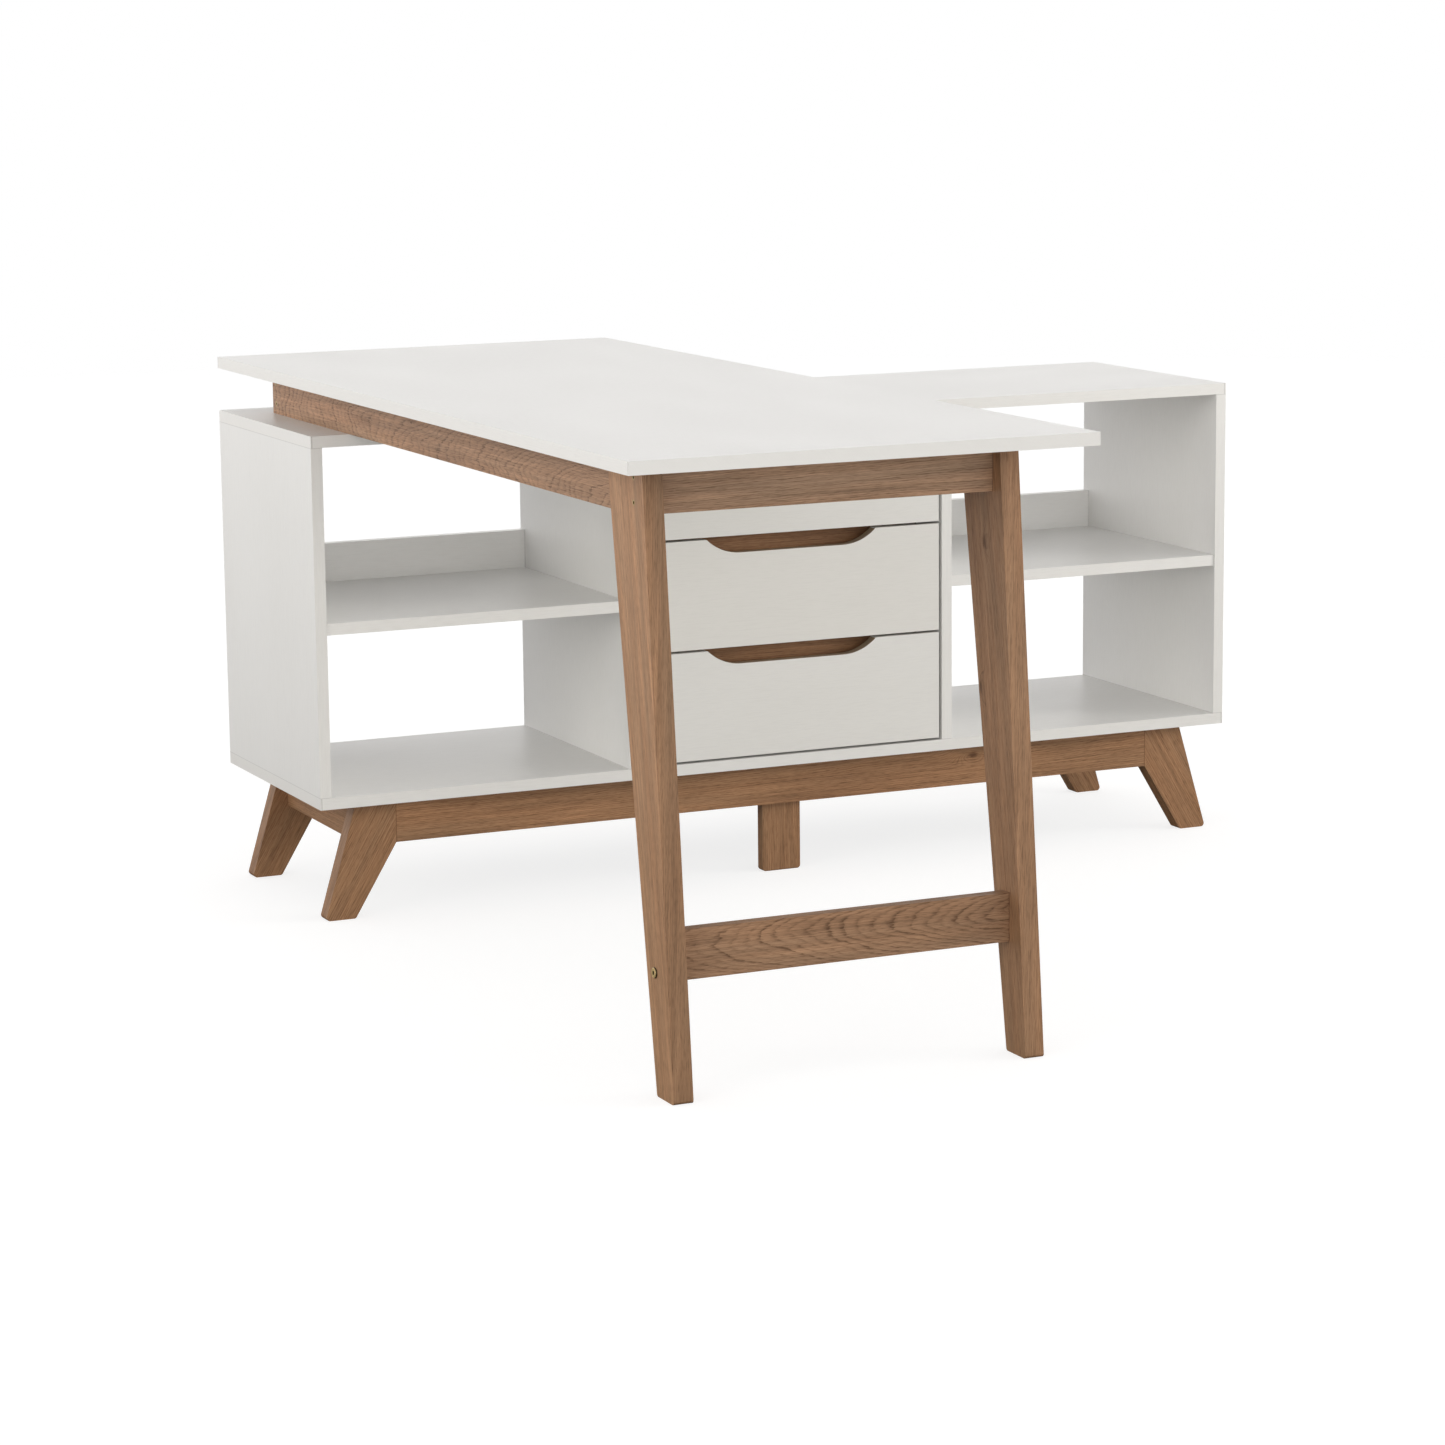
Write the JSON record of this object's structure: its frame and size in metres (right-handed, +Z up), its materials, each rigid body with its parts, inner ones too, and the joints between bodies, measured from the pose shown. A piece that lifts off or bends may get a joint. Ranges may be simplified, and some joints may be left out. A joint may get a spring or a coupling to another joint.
{
  "type": "corner desk",
  "caption": "White corner desk on wood-tone legs: a low cabinet with open shelves and drawers, and a long desk top that rests across one end of it.",
  "frame": {"origin": "on the floor, at the middle of the whole desk's outline seen from above", "axes": "+X along the cabinet towards its right end, +Y from the desk's leg end to the cabinet's back, +Z up"},
  "size_m": [1.43, 1.47, 0.75],
  "materials": {
    "white_laminate": "satin white laminate on board, with matching edge band",
    "wood_tone_foil": "matt brown oak-look foil, grain along each piece",
    "beech": "plain turned or planed beech",
    "hardboard": "thin hardboard, painted white on its visible face",
    "brass_fasteners": "yellow zinc-plated, with a hexagonal socket",
    "steel_fasteners": "plain zinc-plated"
  },
  "bodies": {
    "desk": {"cabinet_top_panel": "white_laminate", "cabinet_bottom_panel": "white_laminate", "left_side_panel": "white_laminate", "right_side_panel": "white_laminate", "left_divider": "white_laminate", "right_divider": "white_laminate", "left_shelf": "white_laminate", "right_shelf": "white_laminate", "left_shelf_rail": "white_laminate", "right_shelf_rail": "white_laminate", "drawer_bay_back": "hardboard", "front_apron": "wood_tone_foil", "back_apron": "wood_tone_foil", "left_base_rail": "wood_tone_foil", "right_base_rail": "wood_tone_foil", "front_left_base_leg": "wood_tone_foil", "front_right_base_leg": "wood_tone_foil", "back_left_base_leg": "wood_tone_foil", "back_right_base_leg": "wood_tone_foil", "centre_leg": "wood_tone_foil", "desk_top": "white_laminate", "left_long_rail": "wood_tone_foil", "right_long_rail": "wood_tone_foil", "desk_end_rail": "wood_tone_foil", "desk_cross_rail": "wood_tone_foil", "left_desk_leg": "wood_tone_foil", "right_desk_leg": "wood_tone_foil", "leg_stretcher": "wood_tone_foil", "bottom_left_runner": "beech", "bottom_right_runner": "beech", "middle_left_runner": "beech", "middle_right_runner": "beech", "top_left_runner": "beech", "top_right_runner": "beech", "wooden_dowels": "beech", "frame_screws": "brass_fasteners", "stretcher_bolts": "brass_fasteners", "long_screws": "steel_fasteners", "short_screws": "steel_fasteners"},
    "bottom_drawer": {"bottom_drawer_front": "white_laminate", "bottom_drawer_strip": "wood_tone_foil", "bottom_drawer_left_side": "white_laminate", "bottom_drawer_right_side": "white_laminate", "bottom_drawer_back": "white_laminate", "bottom_drawer_bottom": "hardboard", "bottom_drawer_dowels": "beech"},
    "middle_drawer": {"middle_drawer_front": "white_laminate", "middle_drawer_strip": "wood_tone_foil", "middle_drawer_left_side": "white_laminate", "middle_drawer_right_side": "white_laminate", "middle_drawer_back": "white_laminate", "middle_drawer_bottom": "hardboard", "middle_drawer_dowels": "beech"},
    "top_drawer": {"top_drawer_front": "white_laminate", "top_drawer_strip": "wood_tone_foil", "top_drawer_left_side": "white_laminate", "top_drawer_right_side": "white_laminate", "top_drawer_back": "white_laminate", "top_drawer_bottom": "hardboard", "top_drawer_dowels": "beech"}
  },
  "joints": [
    {"name": "bottom_drawer_slide", "type": "slide", "parent": "desk", "child": "bottom_drawer", "axis": [0, -1, 0], "range_m": [0, 0.28]},
    {"name": "middle_drawer_slide", "type": "slide", "parent": "desk", "child": "middle_drawer", "axis": [0, -1, 0], "range_m": [0, 0.28]},
    {"name": "top_drawer_slide", "type": "slide", "parent": "desk", "child": "top_drawer", "axis": [0, -1, 0], "range_m": [0, 0.28]}
  ]
}
